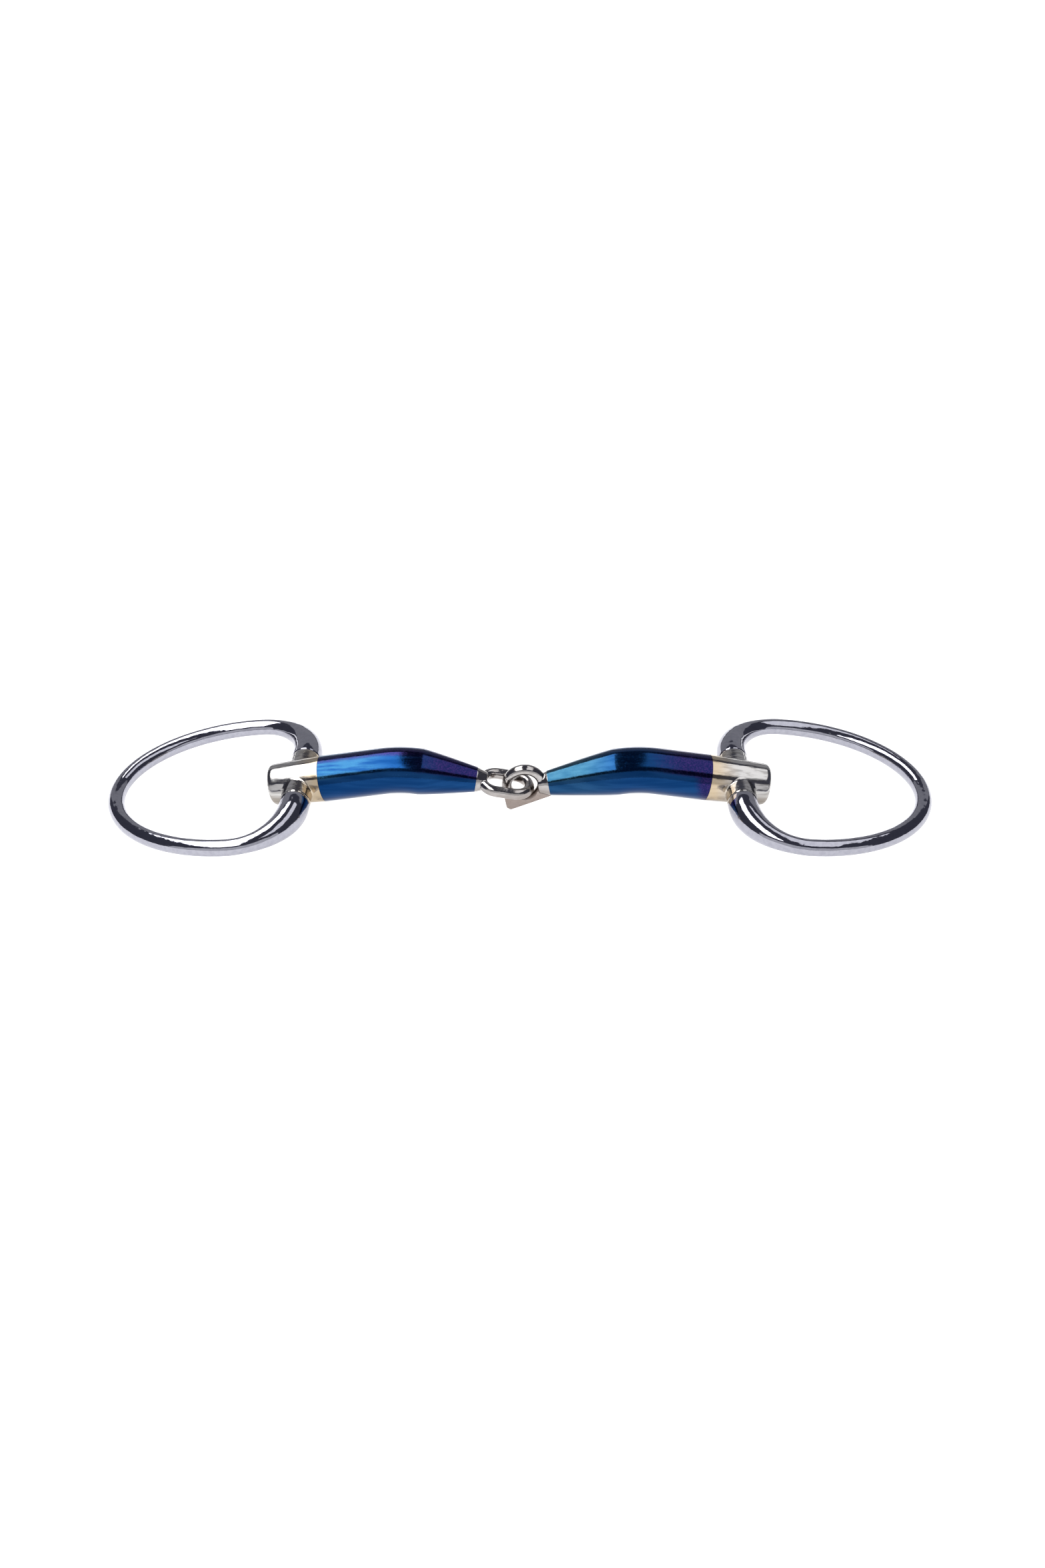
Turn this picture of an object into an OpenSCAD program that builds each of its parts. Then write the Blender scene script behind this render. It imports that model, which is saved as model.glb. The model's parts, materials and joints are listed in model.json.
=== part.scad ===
// Eggbutt snaffle bit with a single centre joint, lying flat at rest.
// Millimetres. X runs along the bit, Y along the hinge pins, Z is up from the surface it lies on.

/* [Mouthpiece] */
// Width between the inner faces of the two cheeks
mouth_w = 141; // [138:1:146]
// Thickness of the blued cannons
cannon_d = 16; // [15:0.5:17]
// Distance of the centre joint from the middle of the bit, along X
joint_shift = 3.6; // [-5:0.1:5]
// Height of the centre joint above the surface
joint_z = 8.3; // [8.2:0.1:8.6]
// Rise of each arm from its barrel to the bend
leg_rise = 10.2; // [9.5:0.1:11]
// Distance from a hinge pin to the bend of its arm
bend_at = 35.4; // [34:0.2:38]
// Radius of the bend, to the middle of the cannon
bend_r = 40; // [30:1:45]
// How far each arm is swept towards the near side, in degrees
sweep = 2.1; // [0:0.1:4]

/* [Barrels] */
// Diameter of a barrel at its outer end
barrel_end_d = 14.4; // [14:0.1:15]
// How far a barrel stands out past its hinge pin
barrel_out = 10.3; // [9.5:0.1:11]
// How far the left barrel reaches in past its pin
barrel_in_l = 8.2; // [7.5:0.1:11]
// How far the right barrel reaches in past its pin
barrel_in_r = 11; // [8:0.1:12]
// Radius of the rounded outer edge of a barrel
barrel_edge = 1.6; // [1:0.1:2.5]
// Diameter of the cross boss that carries the hinge pin
boss_d = 10.4; // [10:0.1:11]
// Length of the cross boss along the pin
boss_len = 24.4; // [22:0.2:26]

/* [Cheeks] */
// Diameter of the rod that a cheek is bent from
rod_d = 5.7; // [5.4:0.1:6.2]
// Distance from the pin to the middle of the rod at the outer end
cheek_len = 65; // [60:1:68]
// Half height of a cheek, to the middle of the rod
cheek_half = 34.9; // [34:0.1:37]
// Radius of the two corners beside the hinge
corner_r = 20; // [19:0.5:21]
// Diameter of the egg butts where they meet the boss
butt_d = 10.4; // [10:0.1:11]
// Length of rod over which a butt thins down to the rod
butt_taper = 31; // [26:1:33]

/* [Hinge pins] */
// Diameter of a hinge pin
pin_d = 5.5; // [5:0.1:6]
// Depth to which a pin is set into each butt
pin_set = 6; // [5:0.5:7]

/* [Centre joint] */
// Radius of the upright right eye, to the middle of its limb
eye_r = 6.1; // [6:0.05:6.3]
// Half width of the flat left eye, to the middle of its limb
loop_r = 5.2; // [5:0.1:5.6]
// Straight run between the rounded ends of the left eye
loop_run = 5.9; // [5.2:0.1:7]
// Width of an eye's limb, across the ring
limb_w = 3.6; // [3.4:0.05:3.7]
// Thickness of an eye's limb, along the hole
limb_t = 4; // [3.8:0.05:4.1]
// Radius on the edges of a limb
limb_round = 1.65; // [1.55:0.05:1.75]
// How far the right eye's middle lies beyond the middle of the left eye's tip
link_over = 1.4; // [1.3:0.05:1.5]
// How far the right eye's middle lies above the line of its arm
eye_lift = 1.2; // [0.8:0.1:1.3]
// Diameter of a cannon where its eye starts
neck_d = 8.7; // [8.5:0.1:9]

/* [Hidden] */

$fn = 48;
LEFT = -1;
RIGHT = 1;

// Fits: the pin runs in its barrel, and the boss turns between the two butts.
running_gap = 0.05;
end_play = 0.15;
bore_over = 1;

// Steps along half a cheek's path and round its rod, for the swept solid.
corner_steps = 12;
nose_steps = 18;
rod_sides = 16;
butt_full = 3;

// Steps along a cannon's bend and taper and round its bar. The taper starts softly.
bend_steps = 6;
taper_steps = 8;
taper_power = 1.15;
cannon_sides = 28;

// Spigots on the barrels and eyes that are set into the cannons.
barrel_spigot_d = 9;
barrel_spigot_len = 9;
eye_spigot_d = 4.6;
eye_spigot_len = 7;

// Foot of the upright right eye: a square corner that rests on the surface.
foot_x = 7.7;
foot_z = 7.35;
foot_round = 1.8;
foot_top = 1.5;
root_d = 6;
root_sunk = 0.3;
neck_gap = 0.4;

rod_r = rod_d / 2;
cannon_r = cannon_d / 2;
neck_r = neck_d / 2;
pin_r = pin_d / 2;
boss_r = boss_d / 2;
seam_v = boss_len / 2 + end_play;
pin_x = mouth_w / 2 + boss_r;
pin_len = 2 * (seam_v + pin_set);
corner_v = cheek_half - corner_r;
nose_a = cheek_len - corner_r;
eye_hole_r = eye_r - limb_w / 2;
loop_hole_r = loop_r - limb_w / 2;
// From the middle of the right eye, and of the left eye's rounded end beside its neck.
eye_neck = eye_r + limb_w / 2 + neck_gap;
loop_neck = loop_r + limb_w / 2 + neck_gap;

// A barrel rests on its lower outer edge, and a cheek on the underside of its rod.
barrel_edge_r = barrel_end_d / 2 - barrel_edge;
pin_z = (barrel_out - barrel_edge) * sin(leg_rise) + barrel_edge_r * cos(leg_rise) + barrel_edge;
cheek_tilt = asin((pin_z - rod_r) / cheek_len);
// The hinge line is set back so that the middle of the whole bit lies on Y = 0.
hinge_y = -corner_r * sin(sweep);

// Level distance from the pin to the tip of the left eye, or to the middle of the right one.
function arm_reach(side) =
  (pin_x - side * joint_shift) / cos(sweep) + (side == LEFT ? 0 : link_over);
// Distance back along an arm from there to the end of its cannon.
function neck_back(side) = side == LEFT ? loop_r + loop_run + loop_neck : eye_neck;
function barrel_in(side) = side == LEFT ? barrel_in_l : barrel_in_r;
apex_z = bend_at * tan(leg_rise);
function leg_fall(side) = atan((apex_z + pin_z - joint_z) / (arm_reach(side) - bend_at));
function inner_len(side) = (arm_reach(side) - bend_at) / cos(leg_fall(side));
function bend_turn(side) = leg_rise + leg_fall(side);
function bend_cut(side) = bend_r * tan(bend_turn(side) / 2);
outer_len = bend_at / cos(leg_rise);

// ---- Placing ----

// From a frame whose origin is on the pin, with +X towards the joint, to the bit's own frame.
module arm_place(side)
  translate([side * pin_x, hinge_y, pin_z])
    rotate([0, 0, side == LEFT ? -sweep : 180 + sweep])
      children();

// From a frame whose origin is on the pin, with +X outwards in the cheek's plane.
module cheek_place(side)
  translate([side * pin_x, hinge_y, pin_z])
    rotate([0, 0, side == LEFT ? 180 - sweep : sweep])
      rotate([0, cheek_tilt, 0])
        children();

// Outer leg: +X runs up from the pin to the bend.
module outer_leg() rotate([0, -leg_rise, 0]) children();

// Inner leg: the origin is the bend's corner, and +X runs down to the eye.
module inner_leg(side)
  translate([bend_at, 0, apex_z])
    rotate([0, leg_fall(side), 0])
      children();

// ---- Shared shapes ----

module rod_x(x0, x1, r0, r1)
  translate([x0, 0, 0])
    rotate([0, 90, 0])
      cylinder(h = x1 - x0, r1 = r0, r2 = r1);

module rod_y(len, r)
  rotate([90, 0, 0])
    cylinder(h = len, r = r, center = true);

// Round bar through a list of stations, each [middle, across, up, radius], closed at both ends.
module swept(stations, sides) {
  last = len(stations) - 1;
  polyhedron(
    points = [for (s = stations, k = [0:sides - 1])
      let (a = 360 * k / sides)
        s[0] + s[3] * (cos(a) * s[1] + sin(a) * s[2])],
    faces = concat(
      [[for (k = [sides - 1:-1:0]) k]],
      [for (i = [0:last - 1], k = [0:sides - 1])
        let (a = i * sides + k, b = i * sides + (k + 1) % sides)
          [a, b, b + sides, a + sides]],
      [[for (k = [0:sides - 1]) last * sides + k]]));
}

// Section of an eye's limb: a rectangle with rounded corners, drawn at a radius from the axis.
module limb_section(radius) {
  flat_w = limb_w - 2 * limb_round;
  flat_t = limb_t - 2 * limb_round;
  translate([radius, 0]) {
    square([limb_w, flat_t], center = true);
    square([flat_w, limb_t], center = true);
    for (x = [-flat_w / 2, flat_w / 2], y = [-flat_t / 2, flat_t / 2])
      translate([x, y])
        circle(limb_round);
  }
}

// Neck from a cannon's end to the hole of its eye, and the spigot set into the cannon.
module eye_neck_rod(neck, hole_r) {
  rod_x(-neck, -hole_r - root_sunk, neck_r, root_d / 2);
  rod_x(-neck - eye_spigot_len, -neck, eye_spigot_d / 2, eye_spigot_d / 2);
}

// ---- Cheeks ----

// Middle line of half a cheek, from the seam round the corner to the outer end: [u, v, rod radius].
function butt_radius(run) =
  let (t = max(0, min(1, (run - butt_full) / (butt_taper - butt_full))))
    rod_r + (butt_d / 2 - rod_r) * (1 + cos(180 * t)) / 2;
half_path = concat(
  [for (v = [seam_v, corner_v]) [0, v, butt_radius(v - seam_v)]],
  [for (i = [1:corner_steps])
    let (a = 90 * i / corner_steps)
      [corner_r * (1 - cos(a)), corner_v + corner_r * sin(a),
       butt_radius(corner_v - seam_v + corner_r * a * PI / 180)]],
  [for (i = [1:nose_steps])
    let (a = 90 * i / nose_steps)
      [corner_r + nose_a * sin(a), cheek_half * cos(a), rod_r]]);
half_count = len(half_path);
cheek_path = concat(half_path,
  [for (i = [half_count - 2:-1:0]) [half_path[i][0], -half_path[i][1], half_path[i][2]]]);
cheek_count = len(cheek_path);

function flat_point(i) = [cheek_path[i][0], cheek_path[i][1], 0];
function path_run(i) = flat_point(min(i + 1, cheek_count - 1)) - flat_point(max(i - 1, 0));
function path_across(i) = [path_run(i)[1], -path_run(i)[0], 0] / norm(path_run(i));

module swept_cheek()
  swept([for (i = [0:cheek_count - 1])
    [flat_point(i), path_across(i), [0, 0, 1], cheek_path[i][2]]], rod_sides);

module cheek_ring(side)
  color("gainsboro")
    cheek_place(side)
      difference() {
        swept_cheek();
        rod_y(pin_len, pin_r);
      }

module hinge_pin(side)
  color("silver")
    cheek_place(side)
      rod_y(pin_len, pin_r);

// ---- Barrels ----

// Turned outside of a barrel, widening from its rounded outer end to the cannon.
module barrel_profile(side) {
  end_r = barrel_end_d / 2;
  polygon([
    [0, -barrel_out],
    [end_r - barrel_edge, -barrel_out],
    [end_r - barrel_edge, -barrel_out + barrel_edge],
    [end_r, -barrel_out + barrel_edge],
    [cannon_r, barrel_in(side)],
    [0, barrel_in(side)]]);
  translate([end_r - barrel_edge, -barrel_out + barrel_edge])
    circle(barrel_edge);
}

module barrel(side)
  color("whitesmoke")
    arm_place(side)
      difference() {
        union() {
          outer_leg() {
            rotate([0, 90, 0])
              rotate_extrude()
                barrel_profile(side);
            rod_x(barrel_in(side) - bore_over, barrel_in(side) + barrel_spigot_len,
                  barrel_spigot_d / 2, barrel_spigot_d / 2);
          }
          rod_y(boss_len, boss_r);
        }
        rod_y(boss_len + bore_over, pin_r + running_gap);
      }

// ---- Cannons ----

// Middle line of a cannon in the arm's upright plane: [along, height, slope, radius].
function outer_station(run) =
  [run * cos(leg_rise), run * sin(leg_rise), leg_rise, cannon_r];
function bend_station(side, turned) =
  let (start = outer_station(outer_len - bend_cut(side)), slope = leg_rise - turned)
    [start[0] + bend_r * (sin(leg_rise) - sin(slope)),
     start[1] + bend_r * (cos(slope) - cos(leg_rise)), slope, cannon_r];
function inner_station(side, part) =
  let (start = bend_cut(side), run = start + part * (inner_len(side) - neck_back(side) - start))
    [bend_at + run * cos(leg_fall(side)), apex_z - run * sin(leg_fall(side)), -leg_fall(side),
     cannon_r - (cannon_r - neck_r) * pow(part, taper_power)];
function cannon_path(side) = concat(
  [outer_station(barrel_in(side))],
  [for (i = [0:bend_steps]) bend_station(side, bend_turn(side) * i / bend_steps)],
  [for (i = [1:taper_steps]) inner_station(side, i / taper_steps)]);

module cannon_bar(side)
  swept([for (p = cannon_path(side))
    [[p[0], 0, p[1]], [-sin(p[2]), 0, cos(p[2])], [0, 1, 0], p[3]]], cannon_sides);

module cannon(side)
  color("midnightblue")
    arm_place(side)
      difference() {
        cannon_bar(side);
        outer_leg()
          rod_x(barrel_in(side) - bore_over, barrel_in(side) + barrel_spigot_len,
                barrel_spigot_d / 2, barrel_spigot_d / 2);
        inner_leg(side)
          rod_x(inner_len(side) - neck_back(side) - eye_spigot_len,
                inner_len(side) - neck_back(side) + bore_over,
                eye_spigot_d / 2, eye_spigot_d / 2);
      }

// ---- Eyes ----

module eye_place(side)
  arm_place(side)
    inner_leg(side)
      translate([inner_len(side), 0, 0])
        children();

// The flat left eye is a long loop, and its origin is at the middle of the limb at its tip.
module loop_end()
  rotate_extrude(angle = 180)
    limb_section(loop_r);

module left_eye()
  color("lightgray")
    eye_place(LEFT) {
      translate([-loop_r, 0, 0])
        rotate([0, 0, -90])
          loop_end();
      translate([-loop_r - loop_run, 0, 0])
        rotate([0, 0, 90])
          loop_end();
      for (y = [0, 2 * loop_r])
        translate([-loop_r, y, 0])
          rotate([90, 0, -90])
            linear_extrude(loop_run)
              limb_section(loop_r);
      translate([-loop_r - loop_run, 0, 0])
        difference() {
          eye_neck_rod(loop_neck, loop_hole_r);
          cylinder(h = neck_d + bore_over, r = loop_hole_r + root_sunk, center = true);
        }
    }

// Outline of the square foot below the upright eye.
module foot_outline() {
  polygon([
    [-eye_neck, -foot_top],
    [-eye_neck, -neck_r],
    [foot_x - foot_round, -foot_z],
    [foot_x - foot_round, -foot_z + foot_round],
    [foot_x, -foot_z + foot_round],
    [foot_x, -foot_top]]);
  translate([foot_x - foot_round, -foot_z + foot_round])
    circle(foot_round);
}

module eye_foot()
  rotate([90, 0, 0])
    linear_extrude(limb_t, center = true)
      difference() {
        foot_outline();
        translate([0, eye_lift])
          circle(eye_r);
      }

// The upright right eye: its hole runs along Y, and its ring sits a little above the neck.
module right_eye()
  color("lightgray")
    eye_place(RIGHT) {
      translate([0, 0, eye_lift])
        rotate([90, 0, 0])
          rotate_extrude()
            limb_section(eye_r);
      difference() {
        eye_neck_rod(eye_neck, eye_hole_r);
        translate([0, 0, eye_lift])
          rod_y(neck_d + bore_over, eye_hole_r + root_sunk);
      }
      eye_foot();
    }

module left_cheek_ring() cheek_ring(LEFT);
module left_hinge_pin() hinge_pin(LEFT);
module left_barrel() barrel(LEFT);
module left_cannon() cannon(LEFT);
module left_joint_eye() left_eye();
module right_joint_eye() right_eye();
module right_cannon() cannon(RIGHT);
module right_barrel() barrel(RIGHT);
module right_hinge_pin() hinge_pin(RIGHT);
module right_cheek_ring() cheek_ring(RIGHT);

left_cheek_ring();
left_hinge_pin();
left_barrel();
left_cannon();
left_joint_eye();
right_joint_eye();
right_cannon();
right_barrel();
right_hinge_pin();
right_cheek_ring();
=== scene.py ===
import json
import math

import bpy
from mathutils import Matrix, Vector


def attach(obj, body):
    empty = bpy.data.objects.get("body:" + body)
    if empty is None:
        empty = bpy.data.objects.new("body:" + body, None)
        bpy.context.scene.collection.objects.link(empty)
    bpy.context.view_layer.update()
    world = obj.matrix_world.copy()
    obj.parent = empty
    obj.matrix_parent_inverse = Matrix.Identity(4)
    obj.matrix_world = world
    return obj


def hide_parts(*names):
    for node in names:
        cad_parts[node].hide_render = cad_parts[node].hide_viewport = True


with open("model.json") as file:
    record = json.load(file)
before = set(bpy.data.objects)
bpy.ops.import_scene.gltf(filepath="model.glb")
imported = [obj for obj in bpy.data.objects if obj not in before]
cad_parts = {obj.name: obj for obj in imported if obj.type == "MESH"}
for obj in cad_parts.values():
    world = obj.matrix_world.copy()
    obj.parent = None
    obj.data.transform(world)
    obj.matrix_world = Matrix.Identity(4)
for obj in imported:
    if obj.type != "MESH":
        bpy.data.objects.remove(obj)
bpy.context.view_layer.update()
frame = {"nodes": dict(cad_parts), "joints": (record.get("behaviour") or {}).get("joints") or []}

# ---- Camera and studio ----
# The bit is seen from its near side, 37 degrees above the table, and lies on plain white. A key
# soft box hangs over its left half, a dimmer one over its right half, and the room is dark.
MM = 0.001
CAMERA_RISE = math.radians(36.9)
CAMERA_TURN = math.radians(0.72)
CAMERA_ROLL = math.radians(-0.47)
CAMERA_AWAY = 530 * MM
CAMERA_NEAR = 10 * MM
CAMERA_FAR = 50
LOOK_AT = Vector((1.25 * MM, 9.16 * MM, 0))
LENS_MM = 34.26
FLOOR_WIDTH = 8
WHITE = (1, 1, 1, 1)
PAPER_GREY = (0.5, 0.5, 0.5, 1)
PAPER_GLOW = 1
ROOM = (0.075, 0.078, 0.105, 1)
BACKDROP = (0.9, 0.9, 0.92, 1)

camera_data = bpy.data.cameras.new("camera")
camera_data.lens = LENS_MM
camera_data.clip_start = CAMERA_NEAR
camera_data.clip_end = CAMERA_FAR
camera = bpy.data.objects.new("camera", camera_data)
about_bit = Matrix.Rotation(CAMERA_TURN, 4, "Z")
to_camera = Vector((0, -math.cos(CAMERA_RISE), math.sin(CAMERA_RISE)))
roll = Matrix.Rotation(CAMERA_ROLL, 4, "Z")
pointing = Matrix.Rotation(math.pi / 2 - CAMERA_RISE, 4, "X") @ roll
away = Matrix.Translation(LOOK_AT + CAMERA_AWAY * to_camera)
camera.matrix_world = about_bit @ away @ pointing
bpy.context.scene.collection.objects.link(camera)
bpy.context.scene.camera = camera
bpy.context.scene.view_settings.view_transform = "Standard"


def deselect_all():
    for other in bpy.context.selected_objects:
        other.select_set(False)


deselect_all()
bpy.ops.mesh.primitive_plane_add(size=FLOOR_WIDTH)
floor = bpy.context.object
floor.name = "studio_floor"
paper = bpy.data.materials.new("white_paper")
paper.use_nodes = True
shader = paper.node_tree.nodes["Principled BSDF"]
shader.inputs["Base Color"].default_value = PAPER_GREY
shader.inputs["Roughness"].default_value = 1
shader.inputs["Specular IOR Level"].default_value = 0
shader.inputs["Emission Color"].default_value = WHITE
shader.inputs["Emission Strength"].default_value = PAPER_GLOW
floor.data.materials.append(paper)

world = bpy.data.worlds.new("studio")
world.use_nodes = True
bpy.context.scene.world = world
world_nodes = world.node_tree.nodes
world_links = world.node_tree.links
room = world_nodes["Background"]
room.inputs["Color"].default_value = ROOM
backdrop = world_nodes.new("ShaderNodeBackground")
backdrop.inputs["Color"].default_value = BACKDROP
seen = world_nodes.new("ShaderNodeLightPath")
either = world_nodes.new("ShaderNodeMixShader")
world_links.new(seen.outputs["Is Camera Ray"], either.inputs[0])
world_links.new(room.outputs[0], either.inputs[1])
world_links.new(backdrop.outputs[0], either.inputs[2])
world_links.new(either.outputs[0], world_nodes["World Output"].inputs["Surface"])


def soft_box(name, place, aim, width, depth, watts):
    light = bpy.data.lights.new(name, "AREA")
    light.shape = "RECTANGLE"
    light.size = width
    light.size_y = depth
    light.energy = watts
    lamp = bpy.data.objects.new(name, light)
    lamp.location = place
    lamp.rotation_euler = (Vector(aim) - Vector(place)).to_track_quat("-Z", "Y").to_euler()
    bpy.context.scene.collection.objects.link(lamp)


soft_box("key_box", (-0.46, 0.05, 0.95), (-0.46, 0.05, 0), width=0.6, depth=1.9, watts=16)
soft_box("right_box", (0.48, 0.05, 0.95), (0.48, 0.05, 0), width=0.5, depth=1.5, watts=3.4)
soft_box("back_card", (0, 1.4, 0.55), (0, 0, 0.55), width=3, depth=0.9, watts=2.6)
soft_box("front_card", (0, -1, 0.31), (0, 0, 0.31), width=3, depth=0.6, watts=4.5)

# ---- Cheek rings ----
# Each cheek is one stainless rod bent to a D-oval, swelling to an egg butt on both sides of the
# barrel's boss. It is mirror polished, and its butts are bored blind for the hinge pin.
LEFT, RIGHT = "left", "right"
ROD_R = 2.85 * MM
BUTT_R = 5.2 * MM
SEAM = 12.35 * MM
PIN_R = 2.75 * MM
PIN_SET = 6 * MM
CHEEK_LENGTH = 65 * MM
CHEEK_HALF = 34.9 * MM
CORNER_R = 20 * MM
CORNER_FROM = CHEEK_HALF - CORNER_R
NOSE_RUN = CHEEK_LENGTH - CORNER_R
BUTT_FULL = 3 * MM
BUTT_TAPER = 31 * MM
SEAM_EDGE = 0.5 * MM
EDGE_STEPS = 5
CORNER_STEPS = 24
NOSE_STEPS = 40
ROD_SIDES = 48
HOLE_SIDES = 64
BAR_CREASE = math.radians(35)
joints = {j["name"]: j for j in frame["joints"]}


def hinge_pin_middle(side):
    return Vector(joints[f"{side}_cheek_swing"]["pos_m"])


def arm_frame(side):
    """Origin on a hinge pin, with X running towards the joint, Y along the pin and Z up."""
    along_pin = Vector(joints[f"{side}_cheek_swing"]["axis"]).normalized()
    y_axis = along_pin if side == LEFT else -along_pin
    z_axis = Vector((0, 0, 1))
    turn = Matrix((y_axis.cross(z_axis), y_axis, z_axis)).transposed().to_4x4()
    return Matrix.Translation(hinge_pin_middle(side)) @ turn


def cheek_frame(side):
    """From the pin, X runs outwards in the cheek's plane, which leans down to the table."""
    arm = arm_frame(side)
    lean = math.asin((arm.translation.z - ROD_R) / CHEEK_LENGTH)
    outwards = Matrix.Rotation(math.pi, 4, "Z") @ Matrix.Rotation(lean, 4, "Y")
    return arm @ outwards


def rounded_end(radius, edge):
    """Run and radius at each step over a bar end whose rim has a rounded edge."""
    turns = [math.pi / 2 * i / EDGE_STEPS for i in range(EDGE_STEPS)]
    return [(edge * (1 - math.cos(a)), radius - edge + edge * math.sin(a)) for a in turns]


def butt_radius(run):
    """Radius of the rod at a run from the seam: full at the butt, then a smooth taper."""
    part = min(1, max(0, (run - BUTT_FULL) / (BUTT_TAPER - BUTT_FULL)))
    return ROD_R + (BUTT_R - ROD_R) * (1 + math.cos(math.pi * part)) / 2


def half_cheek():
    """Stations from the seam to the outer end: middle, heading in degrees and radius."""
    path = []
    for run, radius in rounded_end(BUTT_R, SEAM_EDGE):
        path.append((Vector((0, SEAM + run, 0)), 90, radius))
    path.append((Vector((0, SEAM + SEAM_EDGE, 0)), 90, BUTT_R))
    for i in range(CORNER_STEPS + 1):
        turned = math.radians(90 * i / CORNER_STEPS)
        inset = CORNER_R * (1 - math.cos(turned))
        middle = Vector((inset, CORNER_FROM + CORNER_R * math.sin(turned), 0))
        run = CORNER_FROM - SEAM + CORNER_R * turned
        path.append((middle, 90 - math.degrees(turned), butt_radius(run)))
    for i in range(1, NOSE_STEPS + 1):
        t = math.radians(90 * i / NOSE_STEPS)
        middle = Vector((CORNER_R + NOSE_RUN * math.sin(t), CHEEK_HALF * math.cos(t), 0))
        heading = math.degrees(math.atan2(-CHEEK_HALF * math.sin(t), NOSE_RUN * math.cos(t)))
        path.append((middle, heading, ROD_R))
    return path


def mirrored(path):
    """The same stations walked back on the other side of the X axis."""
    back = reversed(path[:-1])
    return [(Vector((p.x, -p.y, 0)), -180 - heading, radius) for p, heading, radius in back]


def drawn_bar(name, path, sides):
    """A round bar pushed out of a disc through a path's stations, in the XY plane."""
    deselect_all()
    middle, heading, radius = path[0]
    bpy.ops.mesh.primitive_circle_add(
        vertices=sides, radius=radius, fill_type="NGON", location=middle,
        rotation=(math.pi / 2, 0, math.radians(heading + 90)))
    bar = bpy.context.object
    bar.name = name
    bpy.ops.object.transform_apply(location=True, rotation=True, scale=True)
    bpy.ops.object.mode_set(mode="EDIT")
    bpy.ops.mesh.select_all(action="SELECT")
    for (p0, h0, r0), (p1, h1, r1) in zip(path, path[1:]):
        bpy.ops.mesh.extrude_region_move(TRANSFORM_OT_translate={"value": p1 - p0})
        if h1 != h0:
            turn = math.radians(h0 - h1)
            bpy.ops.transform.rotate(value=turn, orient_axis="Z", center_override=p1)
        if r1 != r0:
            bpy.ops.transform.resize(value=(r1 / r0,) * 3, center_override=p1)
    bpy.ops.mesh.select_all(action="SELECT")
    bpy.ops.mesh.normals_make_consistent(inside=False)
    bpy.ops.object.mode_set(mode="OBJECT")
    bpy.ops.object.shade_smooth_by_angle(angle=BAR_CREASE)
    return bar


def pick(piece):
    """Selects one piece alone and makes it active."""
    deselect_all()
    piece.select_set(True)
    bpy.context.view_layer.objects.active = piece


def put(piece, place):
    """Takes a piece from its own frame to its place, and leaves its object at the origin."""
    pick(piece)
    piece.matrix_world = place
    bpy.ops.object.transform_apply(location=True, rotation=True, scale=True)
    return piece


def round_bar(radius, length, sides):
    """A plain round bar along the Y axis, about the origin."""
    deselect_all()
    bpy.ops.mesh.primitive_cylinder_add(
        vertices=sides, radius=radius, depth=length, rotation=(math.pi / 2, 0, 0))
    return bpy.context.object


def round_cut(piece, radius, length, place=Matrix()):
    """Cuts a round hole along the Y axis of place out of a piece."""
    cutter = round_bar(radius, length, HOLE_SIDES)
    bpy.ops.object.transform_apply(location=True, rotation=True, scale=True)
    put(cutter, place)
    pick(piece)
    cut = piece.modifiers.new("cut", "BOOLEAN")
    cut.operation = "DIFFERENCE"
    cut.solver = "EXACT"
    cut.object = cutter
    bpy.ops.object.modifier_apply(modifier=cut.name)
    bpy.data.objects.remove(cutter)
    return piece


class Wire:
    """An output socket of a material. Python's operators add the Math nodes behind it."""

    def __init__(self, tree, socket=None):
        self.tree = tree
        self.socket = socket

    def node(self, kind, inputs=None, output=0, **settings):
        """Adds any other node, with its settings and inputs, and returns one of its outputs."""
        made = self.tree.nodes.new(kind)
        for name, value in settings.items():
            setattr(made, name, value)
        for name, value in (inputs or {}).items():
            if isinstance(value, Wire):
                self.tree.links.new(value.socket, made.inputs[name])
            else:
                made.inputs[name].default_value = value
        return Wire(self.tree, made.outputs[output])

    def __add__(self, other):
        return self.node("ShaderNodeMath", {0: self, 1: other}, operation="ADD")

    def __sub__(self, other):
        return self.node("ShaderNodeMath", {0: self, 1: other}, operation="SUBTRACT")

    def __rsub__(self, other):
        return self.node("ShaderNodeMath", {0: other, 1: self}, operation="SUBTRACT")

    def __mul__(self, other):
        return self.node("ShaderNodeMath", {0: self, 1: other}, operation="MULTIPLY")

    __radd__ = __add__
    __rmul__ = __mul__


def fade(value, start, end):
    """0 before start, 1 past end, and smooth between them."""
    return value.node(
        "ShaderNodeMapRange", {"Value": value, "From Min": start, "From Max": end},
        interpolation_type="SMOOTHSTEP")


def mix(factor, first, second):
    """First colour at 0 and second colour at 1."""
    colours = {0: factor, 6: first, 7: second}
    return factor.node("ShaderNodeMix", colours, output=2, data_type="RGBA")


def noise(place, scale, detail, stretch=(1, 1, 1)):
    """Noise from 0 to 1. Features are about 1 / scale metres, and longer where stretch is low."""
    spot = place.node("ShaderNodeMapping", {"Vector": place, "Scale": stretch})
    return place.node("ShaderNodeTexNoise", {"Vector": spot, "Scale": scale, "Detail": detail})


def along_axis(vector, axis):
    return vector.node("ShaderNodeSeparateXYZ", {"Vector": vector}, output=axis)


def bare_metal(name):
    """A metal material without its finish, and the bit's own coordinates in it."""
    material = bpy.data.materials.new(name)
    material.use_nodes = True
    material.node_tree.nodes["Principled BSDF"].inputs["Metallic"].default_value = 1
    return material, Wire(material.node_tree).node("ShaderNodeTexCoord", output="Object")


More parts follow.
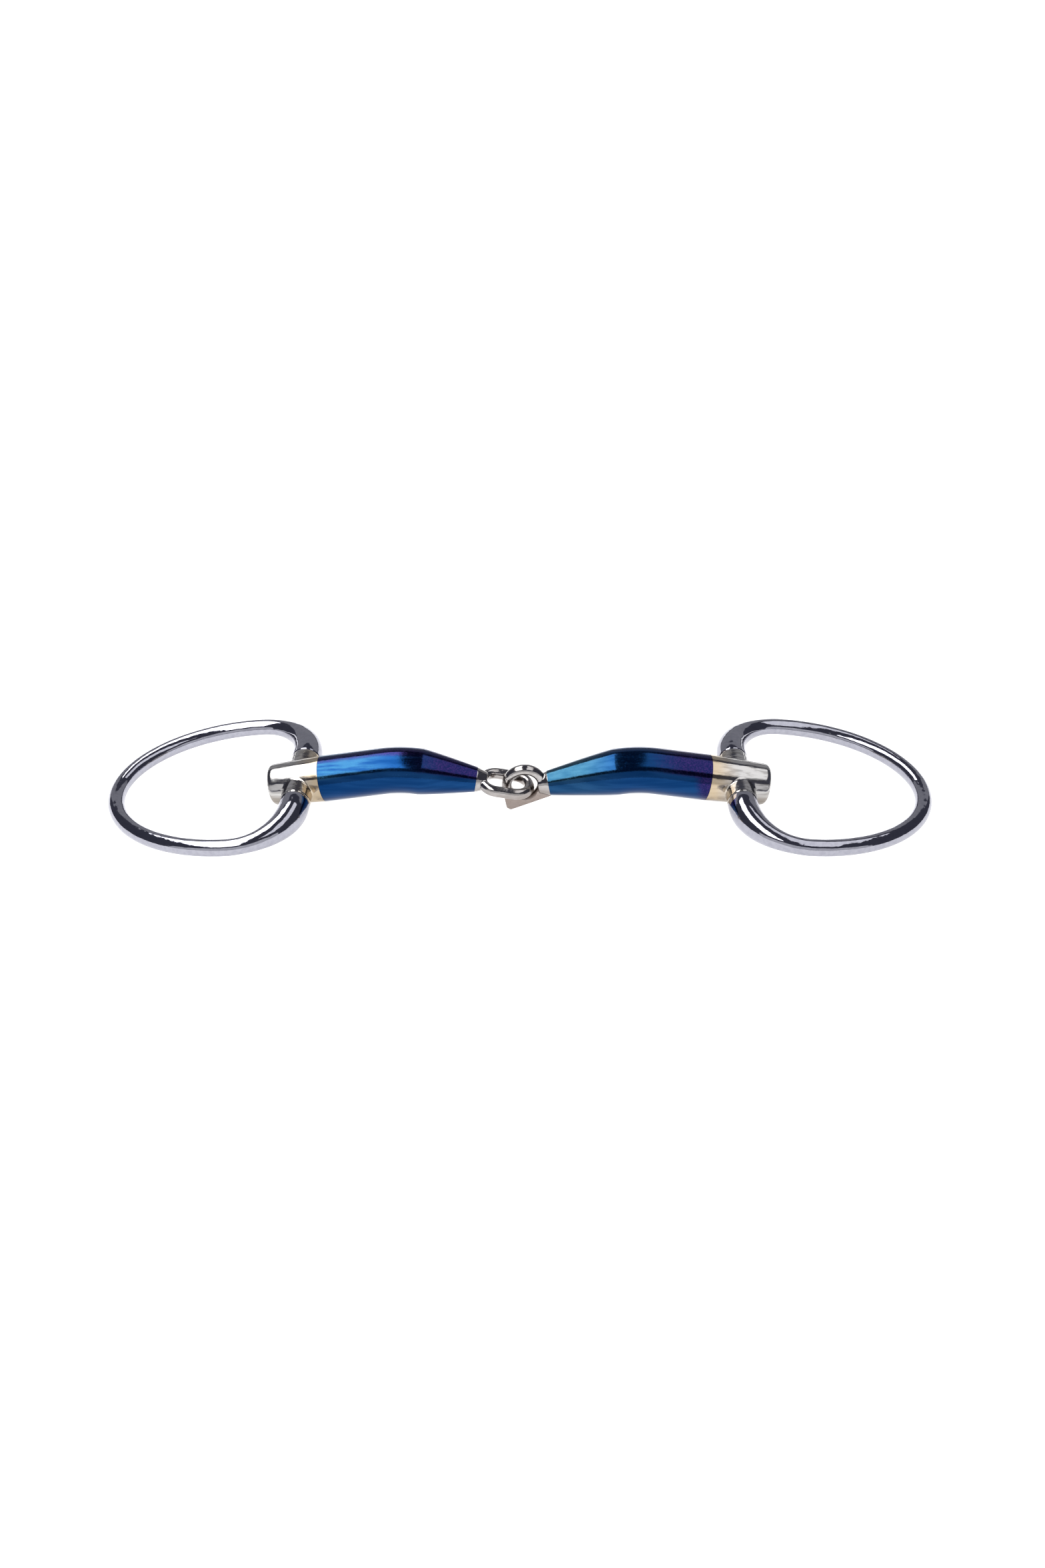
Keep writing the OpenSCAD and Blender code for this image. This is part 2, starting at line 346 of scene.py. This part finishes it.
def polished(material, colour, roughness, height, relief):
    """Links a metal's finish. Relief is the depth in metres that a height of 1 stands for."""
    bump = height.node("ShaderNodeBump", {"Height": height, "Distance": relief})
    surface = material.node_tree.nodes["Principled BSDF"].inputs
    links = material.node_tree.links
    links.new(colour.socket, surface["Base Color"])
    links.new(roughness.socket, surface["Roughness"])
    links.new(bump.socket, surface["Normal"])
    return material


def mirror_steel():
    """Mirror-polished stainless steel: cool, with soft waves left by the polishing mop."""
    clear, smeared = (0.36, 0.36, 0.41, 1), (0.32, 0.32, 0.37, 1)
    material, place = bare_metal("mirror_steel")
    waves = noise(place, scale=140, detail=2)
    smears = noise(place, scale=700, detail=5)
    colour = mix(fade(smears, 0.35, 0.7), clear, smeared)
    roughness = 0.05 + 0.09 * fade(smears, 0.45, 0.8)
    return polished(material, colour, roughness, waves + 0.04 * smears, relief=0.25 * MM)


def finished(piece, material, body, slot, *nodes):
    """Gives a piece its finish and its CAD body, and hides the CAD nodes that it stands for. The
    slot is not used.
    """
    piece.data.materials.clear()
    piece.data.materials.append(material)
    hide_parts(*nodes)
    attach(piece, body)


cheek_finish = mirror_steel()
for side in (LEFT, RIGHT):
    outline = half_cheek()
    ring = drawn_bar(f"{side}_cheek_rod", outline + mirrored(outline), ROD_SIDES)
    round_cut(ring, PIN_R, 2 * (SEAM + PIN_SET))
    put(ring, cheek_frame(side))
    finished(ring, cheek_finish, f"{side}_cheek", "cheek_steel", f"{side}_cheek_ring")

# ---- Hinge pins ----
# Plain ground pins, pressed into the butts of a cheek and running in the cross bore of a barrel.
# Only a fine line of each shows at the seams, so the CAD pins stay and get a ground finish.


def ground_steel():
    """Ground stainless steel with fine rings round the pin."""
    groove, land = (0.42, 0.42, 0.44, 1), (0.56, 0.56, 0.58, 1)
    material, place = bare_metal("ground_steel")
    rings = noise(place, scale=400, detail=4, stretch=(0.1, 6, 0.1))
    roughness = 0.22 + 0.2 * rings
    return polished(material, mix(rings, groove, land), roughness, rings, relief=0.01 * MM)


pin_finish = ground_steel()
for side in (LEFT, RIGHT):
    for pin_slot in frame["nodes"][f"{side}_hinge_pin"].material_slots:
        pin_slot.material = pin_finish

# ---- Barrels ----
# A turned stainless sleeve on the end of each cannon, with a cross boss fused through it for the
# hinge pin. It is polished lengthwise, and heat has tinted it straw where it meets the blue.
ARM_RISE = math.radians(10.2)
CANNON_R = 8 * MM
BARREL_IN = {LEFT: 8.2 * MM, RIGHT: 11 * MM}
BARREL_OUT = 10.3 * MM
BARREL_END_R = 7.2 * MM
BARREL_EDGE = 1.6 * MM
BARREL_GRAIN = 0.2 * MM
BARREL_SOFTENING = 14
BARREL_SIDES = 96
BOSS_R = 5.2 * MM
BOSS_LENGTH = 24.4 * MM
RUNNING_GAP = 0.05 * MM
SPARE = 2 * MM
TRIM_MERGE = 0.001 * MM
TRIM_CREASE = math.radians(40)


def outer_leg(side):
    """Origin on the pin, with X running up along the outer half of the arm."""
    return arm_frame(side) @ Matrix.Rotation(-ARM_RISE, 4, "Y")


def fused(name, parts, grain, rounds):
    """Joins overlapping parts into one skin whose inner corners are softened like a casting's."""
    deselect_all()
    for part in parts:
        part.select_set(True)
    bpy.context.view_layer.objects.active = parts[0]
    bpy.ops.object.join()
    whole = bpy.context.object
    whole.name = name
    remesh = whole.modifiers.new("skin", "REMESH")
    remesh.mode = "VOXEL"
    remesh.voxel_size = grain
    bpy.ops.object.modifier_apply(modifier=remesh.name)
    soften = whole.modifiers.new("soften", "SMOOTH")
    soften.iterations = rounds
    bpy.ops.object.modifier_apply(modifier=soften.name)
    bpy.ops.object.shade_smooth()
    return whole


def trimmed(piece, point, outwards):
    """Cuts a piece off square at a point, and closes the end."""
    pick(piece)
    bpy.ops.object.mode_set(mode="EDIT")
    bpy.ops.mesh.select_all(action="SELECT")
    bpy.ops.mesh.bisect(
        plane_co=point, plane_no=outwards, use_fill=True, clear_outer=True, threshold=TRIM_MERGE)
    bpy.ops.object.mode_set(mode="OBJECT")
    bpy.ops.object.shade_smooth_by_angle(angle=TRIM_CREASE)


def sleeve_line(side):
    """Stations from the sleeve's outer end to a little past the cannon's start."""
    line = [(Vector((run - BARREL_OUT, 0, 0)), 0, radius)
            for run, radius in rounded_end(BARREL_END_R, BARREL_EDGE)]
    line.append((Vector((BARREL_EDGE - BARREL_OUT, 0, 0)), 0, BARREL_END_R))
    line.append((Vector((BARREL_IN[side], 0, 0)), 0, CANNON_R))
    line.append((Vector((BARREL_IN[side] + SPARE, 0, 0)), 0, CANNON_R))
    return line


def tinted_steel(side):
    """Polished steel with lengthwise lines, turning straw and then brown towards the blueing. The
    brown shows only towards the bottom, where the steel is also darkened as painted shade.
    """
    bright, lined = (0.50, 0.49, 0.48, 1), (0.34, 0.33, 0.32, 1)
    warm_painted_shade, pale_straw, brown = (0.20, 0.165, 0.13, 1), (0.50, 0.39, 0.25, 1), (0.11, 0.07, 0.045, 1)
    material, place = bare_metal(f"{side}_tinted_steel")
    outwards = -1 if side == LEFT else 1
    seam = hinge_pin_middle(side).x - outwards * BARREL_IN[side]
    from_blue = outwards * (along_axis(place, "X") - seam)
    lines = noise(place, scale=900, detail=3, stretch=(0.05, 1, 1))
    blotches = noise(place, scale=260, detail=4)
    tint = 1 - fade(from_blue + 4 * MM * (blotches - 0.5), 1 * MM, 11 * MM)
    # Painted shade: towards the bottom the sleeve is darkened to a brownish grey, and its straw
    # tint goes brown in blotches.
    under = 1 - fade(along_axis(place, "Z"), 5 * MM, 9 * MM)
    steel = mix(fade(lines, 0.4, 0.65), bright, lined)
    steel = mix(0.7 * under, steel, warm_painted_shade)
    straw = mix(under * fade(blotches, 0.3, 0.6), pale_straw, brown)
    colour = mix(0.85 * tint, steel, straw)
    roughness = 0.08 + 0.14 * fade(lines, 0.4, 0.8) + 0.1 * fade(blotches, 0.5, 0.8)
    return polished(material, colour, roughness, lines + 0.3 * blotches, relief=0.03 * MM)


for side in (LEFT, RIGHT):
    sleeve = drawn_bar("sleeve", sleeve_line(side), BARREL_SIDES)
    boss = round_bar(BOSS_R, BOSS_LENGTH, BARREL_SIDES)
    barrel = fused(f"{side}_barrel_sleeve", [sleeve, boss], BARREL_GRAIN, BARREL_SOFTENING)
    round_cut(barrel, PIN_R + RUNNING_GAP, BOSS_LENGTH + SPARE)
    trimmed(barrel, Vector((BARREL_IN[side], 0, 0)), Vector((1, 0, 0)))
    put(barrel, outer_leg(side))
    finished(barrel, tinted_steel(side), f"{side}_arm", "barrel_steel", f"{side}_barrel")

# ---- Cannons ----
# The mouthpiece itself: round bars of sweet iron, heat-blued and polished, which swell to the
# bend and thin down to the joint. Each is welded to its barrel and to its eye.
BEND_AT = 35.4 * MM
BEND_R = 40 * MM
BEND_STEPS = 24
NECK_R = 4.35 * MM
NECK_BACK = {LEFT: 18.5 * MM, RIGHT: 8.3 * MM}
LINK_OVER = {LEFT: 0, RIGHT: 1.4 * MM}
TAPER_POWER = 1.15
TAPER_STEPS = 30
SEAM_LINE = 0.1 * MM
CANNON_SIDES = 72
UPRIGHT = Matrix.Rotation(math.pi / 2, 4, "X")
joint = Vector(joints["centre_fold"]["pos_m"])


def eye_reach(side):
    """Level distance from the pin to the left eye's tip, or to the middle of the right eye."""
    towards_joint = arm_frame(side).to_3x3().col[0]
    return (joint - hinge_pin_middle(side)).dot(towards_joint) + LINK_OVER[side]


def arm_fall(side):
    """Slope of the inner half of an arm, which falls from the bend to the joint."""
    apex_above = BEND_AT * math.tan(ARM_RISE) + hinge_pin_middle(side).z - joint.z
    return math.atan(apex_above / (eye_reach(side) - BEND_AT))


def cannon_line(side):
    """Stations along the bar: place along and above the pin, slope in degrees and radius."""
    fall = arm_fall(side)
    cut = BEND_R * math.tan((ARM_RISE + fall) / 2)
    apex = Vector((BEND_AT, BEND_AT * math.tan(ARM_RISE), 0))
    up = Vector((math.cos(ARM_RISE), math.sin(ARM_RISE), 0))
    down = Vector((math.cos(fall), -math.sin(fall), 0))
    line = [(BARREL_IN[side] * up, ARM_RISE, CANNON_R - SEAM_LINE),
            ((BARREL_IN[side] + SEAM_LINE) * up, ARM_RISE, CANNON_R)]
    centre = apex - cut * up + BEND_R * Vector((up.y, -up.x, 0))
    for i in range(BEND_STEPS + 1):
        slope = ARM_RISE - (ARM_RISE + fall) * i / BEND_STEPS
        from_centre = Vector((-math.sin(slope), math.cos(slope), 0))
        line.append((centre + BEND_R * from_centre, slope, CANNON_R))
    run = (eye_reach(side) - BEND_AT) / math.cos(fall) - NECK_BACK[side] - cut
    for i in range(1, TAPER_STEPS + 1):
        radius = CANNON_R - (CANNON_R - NECK_R) * (i / TAPER_STEPS) ** TAPER_POWER
        line.append((apex + (cut + run * i / TAPER_STEPS) * down, -fall, radius))
    return [(p, math.degrees(slope), radius) for p, slope, radius in line]


def blued_iron(side):
    """Temper colours along the arm, with fine lengthwise streaks and specks in the oxide. Faces
    that point up get lighter colours as painted highlight.
    """
    deep_blue, mid_blue = (0.003, 0.028, 0.105, 1), (0.008, 0.047, 0.15, 1)
    navy, pale_violet = (0.009, 0.014, 0.072, 1), (0.040, 0.023, 0.118, 1)
    deep_teal, pale_teal = (0.014, 0.060, 0.11, 1), (0.030, 0.095, 0.15, 1)
    deep_azure, pale_azure = (0.006, 0.038, 0.13, 1), (0.022, 0.090, 0.18, 1)
    material, place = bare_metal(f"{side}_blued_iron")
    outwards = -1 if side == LEFT else 1
    along = outwards * (hinge_pin_middle(side).x - along_axis(place, "X"))
    upward = along_axis(place.node("ShaderNodeTexCoord", output="Normal"), "Z")
    streaks = noise(place, scale=500, detail=4, stretch=(0.06, 1, 1))
    specks = noise(place, scale=2200, detail=3)
    clouds = noise(place, scale=90, detail=3, stretch=(0.5, 1, 1))
    where = along + 8 * MM * (clouds - 0.5)
    # Painted highlight: faces that point up get lighter temper colours than the faces below them.
    painted_highlight_top = fade(upward, 0.45, 0.62)
    blue = mix(fade(streaks, 0.3, 0.7), deep_blue, mid_blue)
    violet = mix(fade(specks, 0.4, 0.7), navy, pale_violet)
    teal = mix(fade(streaks, 0.3, 0.7), deep_teal, pale_teal)
    azure_highlight = mix(fade(streaks, 0.35, 0.65), deep_azure, pale_azure)
    if side == LEFT:
        # Left side: light blue on faces that point up near the barrel is painted highlight; violet
        # oxide is put only on up-facing faces near the joint and along the very top, also as
        # painted highlight.
        colour = mix(painted_highlight_top * (1 - fade(where, 20 * MM, 34 * MM)), blue, azure_highlight)
        colour = mix(painted_highlight_top * fade(where, 36 * MM, 50 * MM), colour, violet)
        colour = mix(fade(upward, 0.93, 1.0), colour, violet)
    else:
        # Right side: teal towards the joint is temper colour, painted stronger on faces that point
        # up as highlight; violet on up-facing faces near the barrel is painted highlight, and the
        # violet all round next to the barrel is oxide colour.
        colour = mix((0.3 + 0.7 * painted_highlight_top) * fade(where, 38 * MM, 55 * MM), blue, teal)
        colour = mix(painted_highlight_top * (1 - fade(where, 18 * MM, 34 * MM)), colour, violet)
        colour = mix(1 - fade(where, 12 * MM, 16 * MM), colour, violet)
    roughness = 0.12 + 0.12 * fade(specks, 0.45, 0.75) + 0.08 * fade(streaks, 0.45, 0.8)
    return polished(material, colour, roughness, streaks + 0.5 * specks, relief=0.02 * MM)


for side in (LEFT, RIGHT):
    cannon = drawn_bar(f"{side}_cannon_bar", cannon_line(side), CANNON_SIDES)
    put(cannon, arm_frame(side) @ UPRIGHT)
    finished(cannon, blued_iron(side), f"{side}_arm", "blued_iron", f"{side}_cannon")

# ---- Joint eyes ----
# Two linked eyes, forged on short necks that are welded to the cannons. The left one is a long
# loop that lies flat, and the right one stands upright on a square foot.
LIMB_R = 1.8 * MM
LIMB_THICKNESS = 4 * MM
LIMB_STEP = 5
HALF_TURN = 180
LIMB_LAP = 0.05
LIMB_SIDES = 32
SAME_PLACE = 0.01 * MM
LOOP_R = 5.2 * MM
LOOP_RUN = 5.9 * MM
NECK_GAP = 0.4 * MM
LOOP_NECK = LOOP_R + LIMB_R + NECK_GAP
EYE_R = 6.1 * MM
EYE_LIFT = 1.2 * MM
EYE_GRAIN = 0.15 * MM
EYE_SOFTENING = 26
ROOT_R = 3 * MM
ROOT_SUNK = 0.3 * MM
ROOT_SIDES = 48
FOOT_OUT = 7.7 * MM
FOOT_DOWN = 7.35 * MM
FOOT_TOP = 1.5 * MM
FOOT_CORNER = 1.8 * MM


def eye_frame(side):
    """Origin where the arm's line ends, with X along the inner half of the arm."""
    drop = Vector((eye_reach(side), 0, joint.z - hinge_pin_middle(side).z))
    return arm_frame(side) @ Matrix.Translation(drop) @ Matrix.Rotation(arm_fall(side), 4, "Y")


def limb_ring(radius, run):
    """A ring of limb with straight runs between its rounded ends, the far one at the origin."""
    line = []
    for first, shift in ((-90, 0), (90, -run)):
        for heading in range(first, first + HALF_TURN + LIMB_STEP, LIMB_STEP):
            turned = math.radians(heading)
            middle = Vector((radius * math.cos(turned) + shift, radius * math.sin(turned), 0))
            if not line or (middle - line[-1][0]).length > SAME_PLACE:
                line.append((middle, heading + 90, LIMB_R))
    line.append((Vector((LIMB_LAP * radius, -radius, 0)), 360, LIMB_R))
    ring = drawn_bar("limb_ring", line, LIMB_SIDES)
    return put(ring, Matrix.Diagonal((1, 1, LIMB_THICKNESS / (2 * LIMB_R), 1)))


def neck_bar(neck, hole_r):
    """The tapered root between the cannon's end and the eye's hole, with some to trim."""
    line = [(Vector((-neck - SPARE, 0, 0)), 0, NECK_R), (Vector((-neck, 0, 0)), 0, NECK_R),
            (Vector((-hole_r - ROOT_SUNK, 0, 0)), 0, ROOT_R)]
    return drawn_bar("neck_bar", line, ROOT_SIDES)


def square_foot():
    """The block under the right eye, cut back on its under side and outer corner, and bored."""
    deselect_all()
    bpy.ops.mesh.primitive_cube_add(size=1)
    foot = bpy.context.object
    size = Vector((NECK_BACK[RIGHT] + FOOT_OUT, LIMB_THICKNESS, FOOT_DOWN - FOOT_TOP))
    middle = Vector((FOOT_OUT - NECK_BACK[RIGHT], 0, -FOOT_DOWN - FOOT_TOP)) / 2
    put(foot, Matrix.Translation(middle) @ Matrix.Diagonal((*size, 1)))
    under_side = Vector((NECK_R - FOOT_DOWN, 0, FOOT_CORNER - FOOT_OUT - NECK_BACK[RIGHT]))
    trimmed(foot, Vector((-NECK_BACK[RIGHT], 0, -NECK_R)), under_side.normalized())
    outwards = Vector((1, 0, -1)).normalized()
    corner = Vector((FOOT_OUT - FOOT_CORNER, 0, FOOT_CORNER - FOOT_DOWN)) + FOOT_CORNER * outwards
    trimmed(foot, corner, outwards)
    return round_cut(foot, EYE_R, LIMB_THICKNESS + SPARE, Matrix.Translation((0, 0, EYE_LIFT)))


def eye_steel_painted_shade():
    """Bright steel with small dark pits on its faces, turned rose-brown towards the bottom as
    painted shade.
    """
    bright, dull = (0.40, 0.385, 0.38, 1), (0.32, 0.30, 0.29, 1)
    rose_brown, dark_pit = (0.25, 0.20, 0.175, 1), (0.12, 0.10, 0.09, 1)
    material, place = bare_metal("eye_steel_painted_shade")
    blotches = noise(place, scale=350, detail=4)
    pits = noise(place, scale=1800, detail=3)
    # Painted shade: the steel turns rose-brown and a little rougher towards the bottom.
    low = 1 - fade(along_axis(place, "Z") + 3 * MM * (blotches - 0.5), 5 * MM, 12 * MM)
    colour = mix(0.8 * low, mix(fade(blotches, 0.35, 0.65), bright, dull), rose_brown)
    colour = mix(fade(pits, 0.66, 0.74), colour, dark_pit)
    roughness = 0.1 + 0.12 * fade(blotches, 0.4, 0.8) + 0.1 * low
    return polished(material, colour, roughness, blotches + 0.1 * pits, relief=0.08 * MM)


eye_finish = eye_steel_painted_shade()
loop = limb_ring(LOOP_R, LOOP_RUN)
put(loop, Matrix.Translation((-LOOP_R, 0, 0)))
root = neck_bar(LOOP_NECK, LOOP_R - LIMB_R)
put(root, Matrix.Translation((-LOOP_R - LOOP_RUN, 0, 0)))
left_eye = fused("left_joint_loop", [loop, root], EYE_GRAIN, EYE_SOFTENING)
trimmed(left_eye, Vector((-NECK_BACK[LEFT], 0, 0)), Vector((-1, 0, 0)))
put(left_eye, eye_frame(LEFT))
finished(left_eye, eye_finish, "left_arm", "eye_steel", "left_joint_eye")

ring = limb_ring(EYE_R, 0)
put(ring, Matrix.Translation((0, 0, EYE_LIFT)) @ UPRIGHT)
root = neck_bar(NECK_BACK[RIGHT], EYE_R - LIMB_R)
foot = square_foot()
right_eye = fused("right_joint_eye_on_foot", [ring, root, foot], EYE_GRAIN, EYE_SOFTENING)
trimmed(right_eye, Vector((-NECK_BACK[RIGHT], 0, 0)), Vector((-1, 0, 0)))
put(right_eye, eye_frame(RIGHT))
finished(right_eye, eye_finish, "right_arm", "eye_steel", "right_joint_eye")
